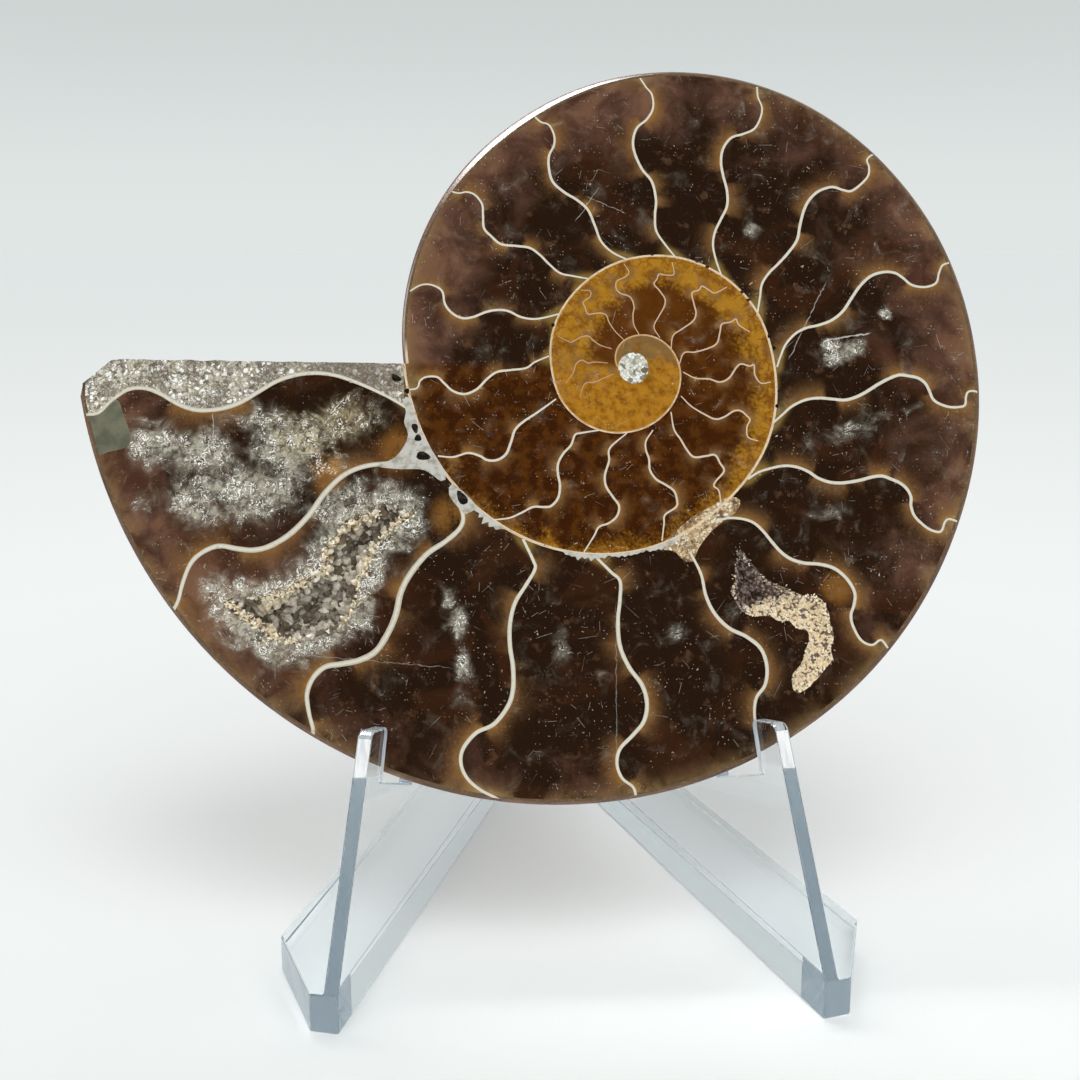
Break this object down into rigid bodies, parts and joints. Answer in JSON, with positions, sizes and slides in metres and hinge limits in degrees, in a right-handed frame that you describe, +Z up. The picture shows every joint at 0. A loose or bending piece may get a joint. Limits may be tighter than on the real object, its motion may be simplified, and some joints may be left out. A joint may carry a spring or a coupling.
{
  "type": "fossil ammonite",
  "caption": "Cut and polished half of a fossil ammonite with open crystal-lined hollows, leaning back on a clear acrylic easel stand of two mirrored halves.",
  "frame": {"origin": "on the surface that the stand rests on, under the middle of the whole thing's box", "axes": "+Z up, +X to the right of someone who looks at the polished face, which looks towards -Y and leans back"},
  "size_m": [0.1122, 0.1024, 0.1068],
  "materials": {
    "polished_fossil": "polished fossil stone: brown and amber calcite chambers between cream septa, with a golden honey-coloured middle; the rounded back is natural shell",
    "hollow_crystals": "small grey and cream calcite crystals with flat shining faces",
    "clear_acrylic": "clear polished acrylic sheet"
  },
  "bodies": {
    "root": {"ammonite": "polished_fossil", "crystal_crust_left": "hollow_crystals", "crystal_crust_right": "hollow_crystals", "stand_left": "clear_acrylic", "stand_right": "clear_acrylic"}
  },
  "joints": []
}
